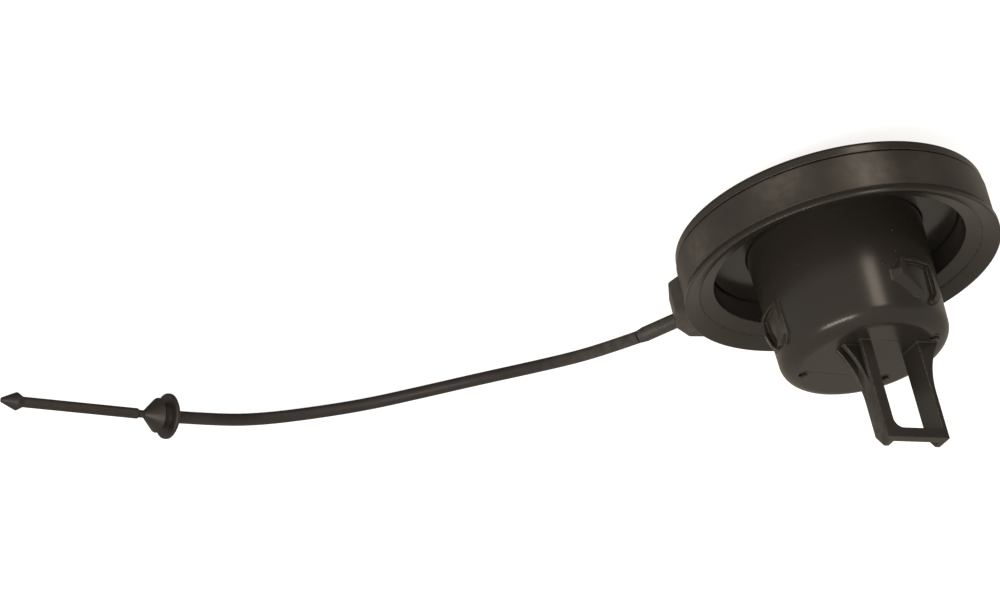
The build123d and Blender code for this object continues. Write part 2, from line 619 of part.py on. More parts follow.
def prong():
    """Two ribbed legs joined by a bar, standing on the hub's end."""
    bar_low = HUB_END + PRONG_LENGTH - BAR_HEIGHT
    span = PRONG_INNER_FAR - PRONG_INNER_NEAR
    centre = (PRONG_INNER_FAR + PRONG_INNER_NEAR) / 2
    middle = PRONG_FRONT + BAR_DEPTH / 2
    far_leg = Pos(PRONG_INNER_FAR, 0, 0) * prong_leg(EDGE_WIDTH)
    near_leg = Pos(PRONG_INNER_NEAR, 0, 0) * prong_leg(PRONG_WALL).mirror(Plane.YZ)
    bar = Box(span, BAR_DEPTH, BAR_HEIGHT + PRONG_ROUND)
    bar = Pos(centre, middle, bar_low + (BAR_HEIGHT - PRONG_ROUND) / 2) * bar
    opening = Rectangle(span, 4 * PRONG_ROUND)
    corners = opening.vertices().group_by(Axis.X)
    opening = fillet(corners[0], PRONG_CORNER)
    opening = fillet(opening.vertices().group_by(Axis.X)[-1], PRONG_ROUND)
    opening = extrude(Plane.XZ * opening, BAR_DEPTH, both=True)
    window = Pos(centre, middle, bar_low - 2 * PRONG_ROUND) * opening
    return far_leg + near_leg + (bar - window)


def closure_plug():
    """Plug of the cap: dished flange, gasket recess, toothed hub, lugs and prong."""
    face = make_face(Plane.XZ * Polyline(
        (TOOTH_TIP_RADIUS - 1.5, WEB_Z), (WALL_RADIUS, WEB_Z), (WALL_RADIUS, flange_under(WALL_RADIUS)),
        (FLANGE_RADIUS, FLANGE_LOW), (FLANGE_RADIUS, FLANGE_HIGH - FLANGE_ROUND),
        (FLANGE_RADIUS - FLANGE_ROUND, FLANGE_HIGH), (STEP_RADIUS, flange_open(STEP_RADIUS)),
        (STEP_RADIUS, flange_open(STEP_RADIUS) - STEP_DEPTH), (RECESS_RADIUS, MOUTH_Z - STEP_DEPTH),
        (RECESS_RADIUS - RECESS_DRAFT, RECESS_Z), (HUB_ROOT_RADIUS, RECESS_Z),
        (HUB_END_RADIUS, HUB_END), (0, HUB_END), (0, CAVITY_END), (CAVITY_RADIUS, CAVITY_END),
        (CAVITY_RADIUS, WEB_Z + TOOTH_LENGTH), (TOOTH_TIP_RADIUS - 1.5, WEB_Z + TOOTH_LENGTH), close=True,
    ))
    body = revolve(face, Axis.Z)
    end_edge = body.edges().filter_by(GeomType.CIRCLE).filter_by(
        lambda edge: abs(edge.center().Z - HUB_END) < 0.01
    )
    body = fillet(end_edge, HUB_ROUND)
    pitch = 360 / TOOTH_COUNT
    star = []
    for index in range(TOOTH_COUNT):
        azimuth = index * pitch - PLUG_AZIMUTH
        star.append(polar(TOOTH_TIP_RADIUS, azimuth))
        star.append(polar(CAVITY_RADIUS, azimuth + TOOTH_STEEP))
    body -= Pos(0, 0, WEB_Z - 1) * extrude(make_face(Polyline(*star, close=True)), TOOTH_LENGTH + 1.5)
    body -= tube(
        WALL_RADIUS + 1, WALL_RADIUS - SNAP_BITE - FREE_GAP,
        SNAP_Z - FACE_GAP, SNAP_Z + SNAP_THICKNESS + FACE_GAP,
    )
    lug = bayonet_lug()
    for index in range(CAM_COUNT):
        body += Rot(0, 0, CAM_AZIMUTH + index * 360 / CAM_COUNT) * lug
    body += prong()
    for inset, azimuth in VENTS:
        x, y = polar(CAVITY_RADIUS - inset, azimuth)
        body -= round_bar(VENT_RADIUS, CAVITY_END - 1, HUB_END + 0.5, x, y)
    return Rot(0, 0, PLUG_AZIMUTH) * body


def neck_gasket():
    """Flat rubber ring in the bottom of the recess, where the filler neck seats."""
    inner = HUB_ROOT_RADIUS + SEAT_GAP
    outer = RECESS_RADIUS - RECESS_DRAFT - SEAT_GAP
    high = RECESS_Z + GASKET_THICKNESS
    ring = tube(outer, inner, RECESS_Z, high)
    circles = ring.edges().filter_by(GeomType.CIRCLE)
    return fillet(circles.group_by(Axis.Z)[-1], GASKET_ROUND)


# ---------------------------------------------------------------- relief valve
def valve_housing():
    """Cup pressed into the hub, with the shelf that carries the valve seat."""
    body = turned([
        (HOUSING_BORE, HOUSING_Z), (HOUSING_RADIUS, HOUSING_Z), (HOUSING_RADIUS, CAVITY_END),
        (HOUSING_RADIUS - HOUSING_UPPER_WALL, CAVITY_END), (HOUSING_RADIUS - HOUSING_UPPER_WALL, SHELF_TOP),
        (SHELF_BORE, SHELF_TOP), (SHELF_BORE, LIP_Z), (SHELF_BORE + LIP_WIDTH, LIP_Z),
        (SHELF_BORE + LIP_WIDTH, SHELF_Z), (HOUSING_BORE, SHELF_Z),
    ])
    half = ORING_SECTION + SEAT_GAP
    return body - tube(HOUSING_RADIUS + 1, HOUSING_RADIUS - ORING_DEPTH, SHELF_Z - half, SHELF_Z + half)


def housing_seal():
    """O-ring between the housing and the hub."""
    centre = (CAVITY_RADIUS + HOUSING_RADIUS - ORING_DEPTH) / 2
    return Pos(0, 0, SHELF_Z) * Torus(centre, (CAVITY_RADIUS - HOUSING_RADIUS + ORING_DEPTH) / 2)


def pressure_seal():
    """Flat rubber ring that closes on the housing's lip."""
    return tube(SEAL_RADIUS, SEAL_BORE, SEAL_Z, LIP_Z)


def pressure_plate():
    """Rimmed plate that presses the seal up, with a spoked guide for the stem."""
    rim_z = PLATE_Z - PLATE_RIM_HEIGHT
    plate = turned([
        (SEAL_BORE, PLATE_Z), (PLATE_RADIUS - PLATE_RIM, PLATE_Z), (PLATE_RADIUS - PLATE_RIM, rim_z),
        (PLATE_RADIUS, rim_z), (PLATE_RADIUS, SEAL_Z), (SEAL_BORE, SEAL_Z),
    ])
    guide = tube(PLATE_HUB_RADIUS, VALVE_STEM_RADIUS + RUNNING_GAP, PLATE_Z, SEAL_Z)
    reach = SEAL_BORE + 0.5 - PLATE_HUB_RADIUS + 0.3
    middle = (PLATE_Z + SEAL_Z) / 2
    spoke = Pos(PLATE_HUB_RADIUS - 0.3 + reach / 2, 0, middle) * Box(reach, PLATE_SPOKE, PLATE_THICKNESS)
    for index in range(PLATE_SPOKES):
        guide += Rot(0, 0, index * 360 / PLATE_SPOKES) * spoke
    return plate + guide


def pressure_spring():
    """Coil between the retainer and the pressure plate."""
    low = RETAINER_TOP + PRESSURE_WIRE + SEAT_GAP
    high = PLATE_Z - PRESSURE_WIRE - SEAT_GAP
    return coil(PRESSURE_COIL, PRESSURE_WIRE, (high - low) / PRESSURE_TURNS, PRESSURE_TURNS, low)


def spring_retainer():
    """Drilled disc that backs up the pressure spring in the housing."""
    disc = tube(HOUSING_BORE - SEAT_GAP, RETAINER_BORE, RETAINER_Z, RETAINER_TOP)
    for index in range(RETAINER_HOLES):
        x, y = polar((RETAINER_BORE + PRESSURE_COIL) / 2 - 0.3, index * 360 / RETAINER_HOLES)
        disc -= round_bar(RETAINER_HOLE, RETAINER_Z - 1, RETAINER_TOP + 1, x, y)
    return disc


def vacuum_valve():
    """Mushroom valve that closes the pressure seal's bore from the tank side."""
    return turned([
        (0, STEM_END), (VALVE_STEM_RADIUS - 0.3, STEM_END), (VALVE_STEM_RADIUS, STEM_END + 0.4),
        (VALVE_STEM_RADIUS, LIP_Z), (VALVE_HEAD_RADIUS, LIP_Z), (VALVE_HEAD_RADIUS, LIP_Z + 0.5),
        (VALVE_HEAD_RADIUS - 0.8, LIP_Z + VALVE_HEAD_THICKNESS), (0, LIP_Z + VALVE_HEAD_THICKNESS),
    ])


def vacuum_spring():
    """Small coil that holds the vacuum valve on its seat."""
    low = NUT_Z + NUT_THICKNESS + VACUUM_WIRE + SEAT_GAP
    high = PLATE_Z - VACUUM_WIRE - SEAT_GAP
    return coil(VACUUM_COIL, VACUUM_WIRE, (high - low) / VACUUM_TURNS, VACUUM_TURNS, low)


def stem_nut():
    """Push nut on the valve's stem."""
    return tube(NUT_RADIUS, VALVE_STEM_RADIUS + SEAT_GAP / 2, NUT_Z, NUT_Z + NUT_THICKNESS)


# ---------------------------------------------------------------- output
PIECES = [
    grip_cover, retaining_ring,
    tether_ring, cord_ferrule, tether_cord, anchor_plug,
    drive_disc, lost_motion_spring, post_clip,
    closure_plug, neck_gasket,
    valve_housing, housing_seal, pressure_seal, pressure_plate, pressure_spring, spring_retainer,
    vacuum_valve, vacuum_spring, stem_nut,
]


def main():
    """Build every piece and write it to parts/."""
    os.makedirs("parts", exist_ok=True)
    for piece in PIECES:
        export_step(piece(), f"parts/{piece.__name__}.step")


if __name__ == "__main__":
    main()
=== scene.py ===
"""Looks of a tethered fuel filler cap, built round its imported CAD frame.

The cap stands on its grip with the prong up. Every length is in metres and every piece lies in
the frame's own axes: Z along the cap's axis, X along the grip bar.
"""

from __future__ import annotations

import json
import logging
import math
from dataclasses import dataclass, field
from enum import Enum

import bmesh
import bpy
from mathutils import Matrix, Vector

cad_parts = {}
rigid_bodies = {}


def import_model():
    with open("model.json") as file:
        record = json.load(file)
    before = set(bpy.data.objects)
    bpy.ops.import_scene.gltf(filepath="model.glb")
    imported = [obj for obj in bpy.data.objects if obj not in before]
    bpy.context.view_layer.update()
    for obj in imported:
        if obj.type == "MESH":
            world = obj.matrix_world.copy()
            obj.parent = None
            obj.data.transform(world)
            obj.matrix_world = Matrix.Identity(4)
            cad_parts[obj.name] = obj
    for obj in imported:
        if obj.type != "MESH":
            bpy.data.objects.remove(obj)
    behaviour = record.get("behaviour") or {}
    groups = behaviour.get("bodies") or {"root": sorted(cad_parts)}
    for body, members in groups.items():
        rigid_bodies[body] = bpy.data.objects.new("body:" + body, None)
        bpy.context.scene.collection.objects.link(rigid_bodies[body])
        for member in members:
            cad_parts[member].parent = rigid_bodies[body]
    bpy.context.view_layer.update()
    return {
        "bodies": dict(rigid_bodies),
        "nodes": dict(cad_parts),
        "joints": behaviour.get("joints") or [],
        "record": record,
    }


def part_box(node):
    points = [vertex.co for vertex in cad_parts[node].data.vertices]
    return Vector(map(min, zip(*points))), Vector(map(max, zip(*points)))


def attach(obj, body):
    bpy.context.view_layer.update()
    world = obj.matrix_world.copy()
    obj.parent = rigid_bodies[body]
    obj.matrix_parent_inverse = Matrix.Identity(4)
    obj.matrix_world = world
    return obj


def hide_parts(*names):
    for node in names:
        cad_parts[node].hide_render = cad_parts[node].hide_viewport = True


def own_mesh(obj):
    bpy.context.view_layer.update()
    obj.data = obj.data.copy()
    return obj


LOG = logging.getLogger("filler_cap")
MM = 0.001
MERGE_GAP = 1e-7  # vertices nearer than this are one, in metres
SAME_LEVEL = 1e-6  # levels nearer than this are equal, in metres


class Body(Enum):
    """Moving bodies that pieces ride on."""

    TETHER = "tether"
    PLUG = "plug"
    PRESSURE_VALVE = "pressure_valve"


class Slot(Enum):
    """Material slots of the record."""

    MOULDING = "black_moulding"
    BAND = "band_moulding"
    TETHER = "tether_rubber"
    INNER = "inner_plastic"
    STEEL = "spring_steel"
    GASKET = "gasket_rubber"


# ------------------------------------------------------------------------------ shader sheets
class Sheet:
    """A node tree under construction: short calls that add nodes and join their sockets."""

    def __init__(self, tree: bpy.types.NodeTree) -> None:
        """Keeps the tree.

        Args:
            tree: the node tree that the calls fill.
        """
        self.tree = tree

    def node(self, kind: str, **settings: object) -> bpy.types.Node:
        """Adds a node.

        Args:
            kind: Blender's type name of the node.
            **settings: attributes to set on it.

        Returns:
            The new node.
        """
        made = self.tree.nodes.new(kind)
        for name, value in settings.items():
            setattr(made, name, value)
        return made

    def feed(self, target: bpy.types.NodeSocket, source: object) -> None:
        """Links a socket to a target, or sets the target's own value.

        Args:
            target: an input socket.
            source: an output socket, a number or a tuple.
        """
        if isinstance(source, bpy.types.NodeSocket):
            self.tree.links.new(source, target)
        else:
            target.default_value = source

    def math(
        self, operation: str, first: object, second: object = 0.0, clamp: bool = False,
    ) -> bpy.types.NodeSocket:
        """Adds a Math node.

        Args:
            operation: Blender's name of the operation.
            first: first operand, a socket or a number.
            second: second operand, a socket or a number.
            clamp: whether the result is kept between 0 and 1.

        Returns:
            The result's socket.
        """
        made = self.node("ShaderNodeMath", operation=operation, use_clamp=clamp)
        self.feed(made.inputs[0], first)
        self.feed(made.inputs[1], second)
        return made.outputs[0]

    def span(
        self, value: object, low: object, high: object, to_low: float, to_high: float,
    ) -> bpy.types.NodeSocket:
        """Maps a stretch of values smoothly to another.

        Args:
            value: the socket to map.
            low: start of the stretch, a socket or a number.
            high: end of the stretch, a socket or a number.
            to_low: what the start becomes.
            to_high: what the end becomes.

        Returns:
            The mapped value's socket.
        """
        made = self.node("ShaderNodeMapRange", interpolation_type="SMOOTHSTEP")
        for index, source in enumerate((value, low, high, to_low, to_high)):
            self.feed(made.inputs[index], source)
        return made.outputs[0]

    def blend(self, share: object, first: object, second: object) -> bpy.types.NodeSocket:
        """Mixes two colours.

        Args:
            share: how much of the second colour, a socket or a number.
            first: first colour.
            second: second colour.

        Returns:
            The mixed colour's socket.
        """
        made = self.node("ShaderNodeMix", data_type="RGBA")
        self.feed(made.inputs["Factor"], share)
        self.feed(made.inputs[6], first)
        self.feed(made.inputs[7], second)
        return made.outputs[2]

    def noise(
        self, place: object, scale: object, detail: float = 2.0, roughness: float = 0.5,
    ) -> bpy.types.NodeSocket:
        """Adds a Noise texture.

        Args:
            place: coordinates.
            scale: cycles per metre.
            detail: number of octaves.
            roughness: weight of the finer octaves.

        Returns:
            The noise value's socket.
        """
        made = self.node("ShaderNodeTexNoise")
        self.feed(made.inputs["Vector"], place)
        self.feed(made.inputs["Scale"], scale)
        self.feed(made.inputs["Detail"], detail)
        self.feed(made.inputs["Roughness"], roughness)
        return made.outputs[0]


def rgba(colour: tuple[float, float, float]) -> tuple[float, float, float, float]:
    """Adds full alpha to a colour."""
    return (*colour, 1.0)


class EffectGroups:
    """Node groups for effects that several finishes share; each is built once."""

    COARSE_PITCH = 0.27  # pitch of the coarse grain, as a share of the fine one's
    GRAIN_WEIGHTS = (0.6, 0.4, 2.2)  # heights of the fine grain, the coarse grain and the waves
    DRIFT_SIZE = 0.3  # scale of the slow drift, as a share of the clouds'
    SPECK_RARITY = 0.86  # share of the cells that stay clean
    PAINTED_SHEEN_PITCH = 420.0  # cycles per metre in a painted sheen patch

    def __init__(self) -> None:
        """Builds the groups."""
        self.grain = self._grain()
        self.mottle = self._mottle()
        self.edge_wear_and_glint = self._edge_wear_and_glint()
        self.specks = self._specks()
        self.painted_sheen = self._painted_sheen()

    @staticmethod
    def _start(
        name: str, inputs: dict[str, tuple[str, object]], outputs: dict[str, str],
    ) -> tuple[Sheet, bpy.types.Node, bpy.types.Node, bpy.types.NodeTree]:
        """Makes an empty group with its sockets.

        Args:
            name: the group's name.
            inputs: socket name to (socket type, default value).
            outputs: socket name to socket type.

        Returns:
            The sheet, the group's input node, its output node and the group.
        """
        group = bpy.data.node_groups.new(name, "ShaderNodeTree")
        for label, (kind, value) in inputs.items():
            socket = group.interface.new_socket(label, in_out="INPUT", socket_type=kind)
            socket.default_value = value
        for label, kind in outputs.items():
            group.interface.new_socket(label, in_out="OUTPUT", socket_type=kind)
        sheet = Sheet(group)
        return sheet, sheet.node("NodeGroupInput"), sheet.node("NodeGroupOutput"), group

    def _grain(self) -> bpy.types.NodeTree:
        """Fine spark-eroded grain with soft waviness under it, as a height.

        Returns:
            The group.
        """
        sheet, inlet, outlet, group = self._start(
            "moulded_grain",
            {"Pitch": ("NodeSocketFloat", 4000.0), "Wave": ("NodeSocketFloat", 90.0)},
            {"Height": "NodeSocketFloat"},
        )
        place = sheet.node("ShaderNodeTexCoord").outputs["Object"]
        coarse_pitch = sheet.math("MULTIPLY", inlet.outputs["Pitch"], self.COARSE_PITCH)
        layers = (
            sheet.noise(place, inlet.outputs["Pitch"], detail=2.0, roughness=0.6),
            sheet.noise(place, coarse_pitch, detail=1.0),
            sheet.noise(place, inlet.outputs["Wave"], detail=1.0),
        )
        fine, coarse, wave = (
            sheet.math("MULTIPLY", layer, weight) for layer, weight in zip(layers, self.GRAIN_WEIGHTS)
        )
        height = sheet.math("ADD", sheet.math("ADD", fine, coarse), wave)
        sheet.feed(outlet.inputs["Height"], height)
        return group

    def _mottle(self) -> bpy.types.NodeTree:
        """Cloudy handling marks and a slow drift of tone, each from 0 to 1.

        Returns:
            The group.
        """
        sheet, inlet, outlet, group = self._start(
            "handling_mottle",
            {"Size": ("NodeSocketFloat", 60.0)},
            {"Cloud": "NodeSocketFloat", "Drift": "NodeSocketFloat"},
        )
        place = sheet.node("ShaderNodeTexCoord").outputs["Object"]
        cloud = sheet.noise(place, inlet.outputs["Size"], detail=5.0, roughness=0.62)
        slow = sheet.math("MULTIPLY", inlet.outputs["Size"], self.DRIFT_SIZE)
        drift = sheet.noise(place, slow, detail=1.0)
        sheet.feed(outlet.inputs["Cloud"], sheet.span(cloud, low=0.36, high=0.66, to_low=0.0, to_high=1.0))
        sheet.feed(outlet.inputs["Drift"], sheet.span(drift, low=0.3, high=0.7, to_low=0.0, to_high=1.0))
        return group

    def _edge_wear_and_glint(self) -> bpy.types.NodeTree:
        """Lighter edges, partly rubbed and partly a painted edge highlight: 1 on a sharp convex edge, broken
        up by noise, and the softened normal.

        Returns:
            The group.
        """
        sheet, inlet, outlet, group = self._start(
            "worn_and_glinting_edge",
            {"Radius": ("NodeSocketFloat", 0.0003), "Break": ("NodeSocketFloat", 900.0)},
            {"Edge": "NodeSocketFloat", "Normal": "NodeSocketVector"},
        )
        bevel = sheet.node("ShaderNodeBevel", samples=4)
        sheet.feed(bevel.inputs["Radius"], inlet.outputs["Radius"])
        geometry = sheet.node("ShaderNodeNewGeometry")
        product = sheet.node("ShaderNodeVectorMath", operation="DOT_PRODUCT")
        sheet.feed(product.inputs[0], bevel.outputs[0])
        sheet.feed(product.inputs[1], geometry.outputs["Normal"])
        sharp = sheet.span(product.outputs["Value"], low=0.985, high=0.8, to_low=0.0, to_high=1.0)
        place = sheet.node("ShaderNodeTexCoord").outputs["Object"]
        patches = sheet.noise(place, inlet.outputs["Break"], detail=3.0)
        broken = sheet.span(patches, low=0.3, high=0.62, to_low=0.15, to_high=1.0)
        sheet.feed(outlet.inputs["Edge"], sheet.math("MULTIPLY", sharp, broken, clamp=True))
        sheet.feed(outlet.inputs["Normal"], bevel.outputs[0])
        return group

    def _specks(self) -> bpy.types.NodeTree:
        """Sparse dust specks and nicks: 1 inside a speck.

        Returns:
            The group.
        """
        sheet, inlet, outlet, group = self._start(
            "dust_specks",
            {"Pitch": ("NodeSocketFloat", 260.0), "Size": ("NodeSocketFloat", 0.09)},
            {"Speck": "NodeSocketFloat"},
        )
        place = sheet.node("ShaderNodeTexCoord").outputs["Object"]
        cells = sheet.node("ShaderNodeTexVoronoi")
        sheet.feed(cells.inputs["Vector"], place)
        sheet.feed(cells.inputs["Scale"], inlet.outputs["Pitch"])
        pick = sheet.node("ShaderNodeSeparateColor")
        sheet.feed(pick.inputs[0], cells.outputs["Color"])
        chosen = sheet.math("GREATER_THAN", pick.outputs[0], self.SPECK_RARITY)
        size = sheet.math("MULTIPLY", inlet.outputs["Size"], pick.outputs[1])
        inside = sheet.math("LESS_THAN", cells.outputs["Distance"], size)
        sheet.feed(outlet.inputs["Speck"], sheet.math("MULTIPLY", chosen, inside))
        return group

    def _painted_sheen(self) -> bpy.types.NodeTree:
        """One cloudy painted sheen patch round a point, a lighter tone that stands in for a highlight: 1 at
        its middle, broken by noise towards its rim.

        Returns:
            The group.
        """
        sheet, inlet, outlet, group = self._start(
            "painted_sheen_patch",
            {"Centre": ("NodeSocketVector", (0.0, 0.0, 0.0)), "Reach": ("NodeSocketFloat", 0.008)},
            {"Mark": "NodeSocketFloat"},
        )
        place = sheet.node("ShaderNodeTexCoord").outputs["Object"]
        gap = sheet.node("ShaderNodeVectorMath", operation="DISTANCE")
        sheet.feed(gap.inputs[0], place)
        sheet.feed(gap.inputs[1], inlet.outputs["Centre"])
        near = sheet.span(gap.outputs["Value"], low=inlet.outputs["Reach"], high=0.0, to_low=0.0, to_high=1.0)
        patches = sheet.noise(place, self.PAINTED_SHEEN_PITCH, detail=4.0, roughness=0.6)
        cloud = sheet.span(patches, low=0.34, high=0.62, to_low=0.35, to_high=1.0)
        sheet.feed(outlet.inputs["Mark"], sheet.math("MULTIPLY", near, cloud))
        return group


# ------------------------------------------------------------------------------ finishes
CLOUD_LIFT = 1.9  # how much lighter a handling cloud is than the tone under it
PAINTED_SHEEN_SHARE = 0.55  # how far a painted sheen patch goes towards the lighter tone
SPECK_ROUGHNESS = 0.3  # how much rougher a speck is than the surface round it


@dataclass(frozen=True)
class Finish:
    """A moulded or drawn surface, as one material.

    Attributes:
        name: material's name.
        tone: base colour.
        worn_and_sheen_tone: colour of rubbed edges and dust, and of the painted edge highlights and sheen
            patches.
        roughness: middle roughness.
        spread: how far the roughness swings with the mottle.
        grain_pitch: grain cycles per metre.
        grain_height: bump distance of the grain, in metres.
        mottle_size: handling clouds per metre.
        mottle: how much the clouds lighten the tone.
        edge_wear_and_glint: how much the lighter edges show, partly rubbed and partly a painted edge
            highlight.
        edge_radius: width of the lighter edges, rubbed and highlighted, in metres.
        dust: how much the specks show.
        metallic: 1 for metal.
        painted_sheens: painted sheen patches, a lighter tone that stands in for highlights, each a centre and
            a reach in metres.
    """

    name: str
    tone: tuple[float, float, float]
    worn_and_sheen_tone: tuple[float, float, float]
    roughness: float = 0.4
    spread: float = 0.1
    grain_pitch: float = 4000.0
    grain_height: float = 0.00001
    mottle_size: float = 60.0
    mottle: float = 0.3
    edge_wear_and_glint: float = 0.4
    edge_radius: float = 0.0003
    dust: float = 0.3
    metallic: float = 0.0
    painted_sheens: tuple[tuple[tuple[float, float, float], float], ...] = ()

    def build(self, groups: EffectGroups) -> bpy.types.Material:
        """Makes the material.

        Args:
            groups: the shared effect groups.

        Returns:
            The material.
        """
        material = bpy.data.materials.new(self.name)
        material.use_nodes = True
        sheet = Sheet(material.node_tree)
        shader = material.node_tree.nodes["Principled BSDF"]

        def place(group: bpy.types.NodeTree, **values: object) -> bpy.types.Node:
            """Places a shared group with this finish's own values.

            Args:
                group: the group.
                **values: input names and their values.

            Returns:
                The group's node.
            """
            made = sheet.node("ShaderNodeGroup", node_tree=group)
            for label, value in values.items():
                made.inputs[label].default_value = value
            return made

        grain = place(groups.grain, Pitch=self.grain_pitch)
        mottle = place(groups.mottle, Size=self.mottle_size)
        edge_wear_and_glint = place(groups.edge_wear_and_glint, Radius=self.edge_radius)
        specks = place(groups.specks)
        lighter = tuple(min(1.0, channel * CLOUD_LIFT) for channel in self.tone)
        cloud = sheet.math("MULTIPLY", mottle.outputs["Cloud"], self.mottle)
        colour = sheet.blend(cloud, rgba(self.tone), rgba(lighter))
        # lighter convex edges: partly rubbed, partly a painted edge highlight
        edge = sheet.math("MULTIPLY", edge_wear_and_glint.outputs["Edge"], self.edge_wear_and_glint)
        colour = sheet.blend(edge, colour, rgba(self.worn_and_sheen_tone))
        # painted sheen: lighter patches that stand in for highlights where the light falls brighter
        for centre, reach in self.painted_sheens:
            mark = place(groups.painted_sheen, Centre=centre, Reach=reach).outputs["Mark"]
            colour = sheet.blend(sheet.math("MULTIPLY", mark, PAINTED_SHEEN_SHARE), colour, rgba(self.worn_and_sheen_tone))
        speck = sheet.math("MULTIPLY", specks.outputs["Speck"], self.dust)
        colour = sheet.blend(speck, colour, rgba(self.worn_and_sheen_tone))
        sheet.feed(shader.inputs["Base Color"], colour)
        low, high = self.roughness - self.spread / 2, self.roughness + self.spread / 2
        rough = sheet.span(mottle.outputs["Drift"], low=0.0, high=1.0, to_low=low, to_high=high)
        rough = sheet.math("ADD", rough, sheet.math("MULTIPLY", mottle.outputs["Cloud"], self.spread))
        rough = sheet.math("ADD", rough, sheet.math("MULTIPLY", speck, SPECK_ROUGHNESS), clamp=True)
        sheet.feed(shader.inputs["Roughness"], rough)
        bump = sheet.node("ShaderNodeBump")
        bump.inputs["Strength"].default_value = 1.0
        bump.inputs["Distance"].default_value = self.grain_height
        sheet.feed(bump.inputs["Height"], sheet.math("ADD", grain.outputs["Height"], speck))
        sheet.feed(bump.inputs["Normal"], edge_wear_and_glint.outputs["Normal"])
        sheet.feed(shader.inputs["Normal"], bump.outputs[0])
        shader.inputs["Metallic"].default_value = self.metallic
        return material


MOULDED = Finish(
    "moulded_black", tone=(0.038, 0.0325, 0.0275), worn_and_sheen_tone=(0.17, 0.155, 0.135), roughness=0.24,
    # strong lighter edges: partly rubbed, partly painted highlights on the crests
    spread=0.03, grain_height=0.000003, mottle_size=35.0, mottle=0.05, edge_wear_and_glint=0.8, edge_radius=0.00045,
    dust=0.35,
    # painted sheen on one leg of the prong, where the light falls brighter
    painted_sheens=(((0.0075, -0.0050, 0.0560), 0.010), ((0.0062, -0.0042, 0.0690), 0.012)),
)
BAND = Finish(
    "band_matte", tone=(0.042, 0.036, 0.0305), worn_and_sheen_tone=(0.15, 0.135, 0.12), roughness=0.38, spread=0.1,
    grain_height=0.000008, mottle_size=110.0, mottle=0.35, edge_wear_and_glint=0.6, dust=0.3,
    # painted highlights round the band's front and beside the lug
    painted_sheens=(
        ((0.0113, -0.0363, 0.0152), 0.011), ((-0.0085, -0.0370, 0.0180), 0.009),
        ((0.0330, -0.0188, 0.0190), 0.009), ((0.0400, 0.0160, 0.0180), 0.020),
    ),
)
TETHER = Finish(
    "tether_elastomer", tone=(0.033, 0.0275, 0.0245), worn_and_sheen_tone=(0.13, 0.12, 0.11), roughness=0.45,
    spread=0.1, grain_height=0.000008, mottle_size=150.0, mottle=0.4, edge_wear_and_glint=0.25, dust=0.3,
    # painted light on the cord's end next to the cap, where the light falls brighter
    painted_sheens=(((0.0520, 0.0220, 0.0180), 0.042),),
)
GASKET = Finish(
    "gasket_rubber", tone=(0.020, 0.0175, 0.0155), worn_and_sheen_tone=(0.1, 0.09, 0.085), roughness=0.2, spread=0.08,
    grain_height=0.000004, mottle=0.25, edge_wear_and_glint=0.1, dust=0.35,
)
INNER = Finish(
    "natural_acetal", tone=(0.62, 0.60, 0.54), worn_and_sheen_tone=(0.74, 0.72, 0.66), roughness=0.38, spread=0.08,
    grain_height=0.000004, mottle=0.1, edge_wear_and_glint=0.1, dust=0.05,
)
STEEL = Finish(
    "drawn_steel", tone=(0.52, 0.51, 0.49), worn_and_sheen_tone=(0.66, 0.65, 0.63), roughness=0.3, spread=0.1,
    grain_height=0.000003, mottle=0.15, edge_wear_and_glint=0.2, dust=0.0, metallic=1.0, edge_radius=0.0001,
)
SLOT_FINISH = {
    Slot.MOULDING: MOULDED, Slot.BAND: BAND, Slot.TETHER: TETHER,
    Slot.INNER: INNER, Slot.STEEL: STEEL, Slot.GASKET: GASKET,
}


class Paint:
    """All the materials of the cap, one per slot."""

    def __init__(self) -> None:
        """Builds the effect groups and the materials."""
        groups = EffectGroups()
        self.of_slot = {slot: finish.build(groups) for slot, finish in SLOT_FINISH.items()}

    def dress_nodes(self, frame: dict) -> None:
        """Gives every CAD node the material of its slot.
        """
        for part in frame["record"]["subparts"]:
            node = frame["nodes"][part["node"]]
            material = self.of_slot[Slot(part["material_slot"])]
            node.data.materials.clear()
            node.data.materials.append(material)
            LOG.info("dressed %s in %s", part["node"], material.name)


def object_from(form: bmesh.types.BMesh, name: str, material: bpy.types.Material) -> bpy.types.Object:
    """Makes a linked object of one material from a finished bmesh, which it frees.

    Args:
        form: the finished shape.
        name: name of the object and of its mesh.
        material: what all of it is made of.

    Returns:
        The object.
    """
    mesh = bpy.data.meshes.new(name)
    form.to_mesh(mesh)
    form.free()
    mesh.materials.append(material)
    made = bpy.data.objects.new(name, mesh)
    bpy.context.collection.objects.link(made)
    return made


